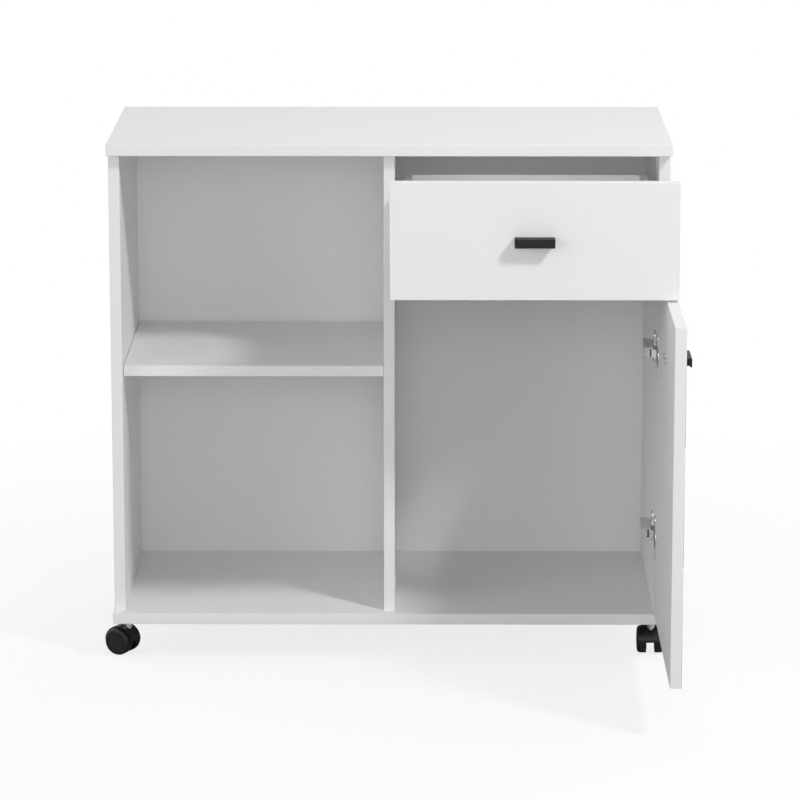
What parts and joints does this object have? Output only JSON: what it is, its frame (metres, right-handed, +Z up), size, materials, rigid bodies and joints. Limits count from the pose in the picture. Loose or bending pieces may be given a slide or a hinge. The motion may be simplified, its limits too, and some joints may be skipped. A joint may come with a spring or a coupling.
{
  "type": "rolling cabinet",
  "caption": "White board cabinet on swivelling twin-wheel casters: an open bay with a middle shelf beside a drawer over a hinged door.",
  "frame": {"origin": "on the floor under the middle of the whole object's box as it stands, drawer part open and door open", "axes": "+X to the cabinet's right as seen from the front, +Y to the back, +Z up"},
  "size_m": [0.8328, 0.7584, 0.758],
  "materials": {
    "white_melamine": "white melamine-faced particleboard with a fine pearl texture and matching edge band",
    "drawer_foil": "white foil-wrapped drawer board, satin",
    "white_fibreboard": "thin fibreboard, painted white on the inner face, brown behind",
    "white_runner": "white powder-coated sheet steel",
    "roller_nylon": "natural nylon",
    "black_handle": "satin black powder coat",
    "zinc_steel": "bright zinc plate",
    "die_cast_zinc": "plain die-cast zinc",
    "beech": "fluted beech dowel, plain",
    "nickel_steel": "nickel-plated pressed steel",
    "chrome_steel": "bright plated steel",
    "black_nylon": "moulded black nylon, satin"
  },
  "bodies": {
    "carcass": {"top_panel": "white_melamine", "bottom_panel": "white_melamine", "left_side": "white_melamine", "right_side": "white_melamine", "partition": "white_melamine", "back_panel": "white_fibreboard", "middle_shelf": "white_melamine", "shelf_pins": "zinc_steel", "cam_locks": "die_cast_zinc", "cam_bolts": "zinc_steel", "dowels": "beech", "system_screws": "zinc_steel", "runner_channel_left": "white_runner", "runner_channel_right": "white_runner", "hinge_plates": "nickel_steel", "hinge_noses": "nickel_steel", "hinge_arms": "nickel_steel", "hinge_arm_pins": "zinc_steel", "caster_plates": "chrome_steel", "caster_stems": "chrome_steel", "caster_screws": "zinc_steel"},
    "drawer": {"drawer_front": "white_melamine", "drawer_left_side": "drawer_foil", "drawer_right_side": "drawer_foil", "drawer_back": "drawer_foil", "drawer_bottom": "white_fibreboard", "runner_rail_left": "white_runner", "runner_rail_right": "white_runner", "drawer_handle": "black_handle", "drawer_handle_screws": "zinc_steel", "drawer_dowels": "beech", "rail_screws": "zinc_steel"},
    "channel_roller_left": {"channel_roller_left": "roller_nylon"},
    "channel_roller_right": {"channel_roller_right": "roller_nylon"},
    "rail_roller_left": {"rail_roller_left": "roller_nylon"},
    "rail_roller_right": {"rail_roller_right": "roller_nylon"},
    "hinge_links": {"hinge_links": "nickel_steel"},
    "door": {"door_panel": "white_melamine", "door_handle": "black_handle", "door_handle_screws": "zinc_steel", "hinge_cups": "nickel_steel", "hinge_cup_pins": "zinc_steel", "hinge_cup_screws": "zinc_steel"},
    "front_left_caster": {"front_left_caster_hood": "black_nylon", "front_left_caster_axle": "zinc_steel"},
    "front_left_wheel_a": {"front_left_wheel_a": "black_nylon"},
    "front_left_wheel_b": {"front_left_wheel_b": "black_nylon"},
    "front_right_caster": {"front_right_caster_hood": "black_nylon", "front_right_caster_axle": "zinc_steel"},
    "front_right_wheel_a": {"front_right_wheel_a": "black_nylon"},
    "front_right_wheel_b": {"front_right_wheel_b": "black_nylon"},
    "rear_left_caster": {"rear_left_caster_hood": "black_nylon", "rear_left_caster_axle": "zinc_steel"},
    "rear_left_wheel_a": {"rear_left_wheel_a": "black_nylon"},
    "rear_left_wheel_b": {"rear_left_wheel_b": "black_nylon"},
    "rear_right_caster": {"rear_right_caster_hood": "black_nylon", "rear_right_caster_axle": "zinc_steel"},
    "rear_right_wheel_a": {"rear_right_wheel_a": "black_nylon"},
    "rear_right_wheel_b": {"rear_right_wheel_b": "black_nylon"}
  },
  "joints": [
    {"name": "drawer_slide", "type": "slide", "parent": "carcass", "child": "drawer", "axis": [0, -1, 0], "range_m": [-0.2065, 0.0235]},
    {"name": "hinge_link_turn", "type": "hinge", "parent": "carcass", "child": "hinge_links", "pos_m": [0.37335, 0.01625, 0.074], "axis": [0, 0, 1], "range_deg": [-3.33, 29.54]},
    {"name": "door_turn", "type": "hinge", "parent": "hinge_links", "child": "door", "pos_m": [0.38635, 0.00775, 0.074], "axis": [0, 0, 1], "range_deg": [-119.49, 13.28]},
    {"name": "channel_roller_left_spin", "type": "hinge", "parent": "carcass", "child": "channel_roller_left", "pos_m": [0.00735, 0.03825, 0.608], "axis": [1, 0, 0], "continuous": true},
    {"name": "rail_roller_left_spin", "type": "hinge", "parent": "drawer", "child": "rail_roller_left", "pos_m": [0.00735, 0.09975, 0.608], "axis": [1, 0, 0], "continuous": true},
    {"name": "channel_roller_right_spin", "type": "hinge", "parent": "carcass", "child": "channel_roller_right", "pos_m": [0.38135, 0.03825, 0.608], "axis": [1, 0, 0], "continuous": true},
    {"name": "rail_roller_right_spin", "type": "hinge", "parent": "drawer", "child": "rail_roller_right", "pos_m": [0.38135, 0.09975, 0.608], "axis": [1, 0, 0], "continuous": true},
    {"name": "front_left_swivel", "type": "hinge", "parent": "carcass", "child": "front_left_caster", "pos_m": [-0.38165, 0.05425, 0.058], "axis": [0, 0, 1], "continuous": true},
    {"name": "front_left_wheel_a_spin", "type": "hinge", "parent": "front_left_caster", "child": "front_left_wheel_a", "pos_m": [-0.39059, 0.05873, 0.02], "axis": [0.4478, 0.8942, 0], "continuous": true},
    {"name": "front_left_wheel_b_spin", "type": "hinge", "parent": "front_left_caster", "child": "front_left_wheel_b", "pos_m": [-0.39059, 0.05873, 0.02], "axis": [0.4478, 0.8942, 0], "continuous": true},
    {"name": "front_right_swivel", "type": "hinge", "parent": "carcass", "child": "front_right_caster", "pos_m": [0.38035, 0.05425, 0.058], "axis": [0, 0, 1], "continuous": true},
    {"name": "front_right_wheel_a_spin", "type": "hinge", "parent": "front_right_caster", "child": "front_right_wheel_a", "pos_m": [0.38035, 0.06425, 0.02], "axis": [1, 0, 0], "continuous": true},
    {"name": "front_right_wheel_b_spin", "type": "hinge", "parent": "front_right_caster", "child": "front_right_wheel_b", "pos_m": [0.38035, 0.06425, 0.02], "axis": [1, 0, 0], "continuous": true},
    {"name": "rear_left_swivel", "type": "hinge", "parent": "carcass", "child": "rear_left_caster", "pos_m": [-0.38165, 0.33425, 0.058], "axis": [0, 0, 1], "continuous": true},
    {"name": "rear_left_wheel_a_spin", "type": "hinge", "parent": "rear_left_caster", "child": "rear_left_wheel_a", "pos_m": [-0.38165, 0.34425, 0.02], "axis": [1, 0, 0], "continuous": true},
    {"name": "rear_left_wheel_b_spin", "type": "hinge", "parent": "rear_left_caster", "child": "rear_left_wheel_b", "pos_m": [-0.38165, 0.34425, 0.02], "axis": [1, 0, 0], "continuous": true},
    {"name": "rear_right_swivel", "type": "hinge", "parent": "carcass", "child": "rear_right_caster", "pos_m": [0.38035, 0.33425, 0.058], "axis": [0, 0, 1], "continuous": true},
    {"name": "rear_right_wheel_a_spin", "type": "hinge", "parent": "rear_right_caster", "child": "rear_right_wheel_a", "pos_m": [0.38035, 0.34425, 0.02], "axis": [1, 0, 0], "continuous": true},
    {"name": "rear_right_wheel_b_spin", "type": "hinge", "parent": "rear_right_caster", "child": "rear_right_wheel_b", "pos_m": [0.38035, 0.34425, 0.02], "axis": [1, 0, 0], "continuous": true}
  ],
  "couplings": [
    {"joint": "hinge_link_turn", "follows": "door_turn", "ratio": -0.24678},
    {"joint": "channel_roller_left_spin", "follows": "drawer_slide", "rad_per_m": 117.65},
    {"joint": "rail_roller_left_spin", "follows": "drawer_slide", "rad_per_m": 117.65},
    {"joint": "channel_roller_right_spin", "follows": "drawer_slide", "rad_per_m": 117.65},
    {"joint": "rail_roller_right_spin", "follows": "drawer_slide", "rad_per_m": 117.65}
  ]
}
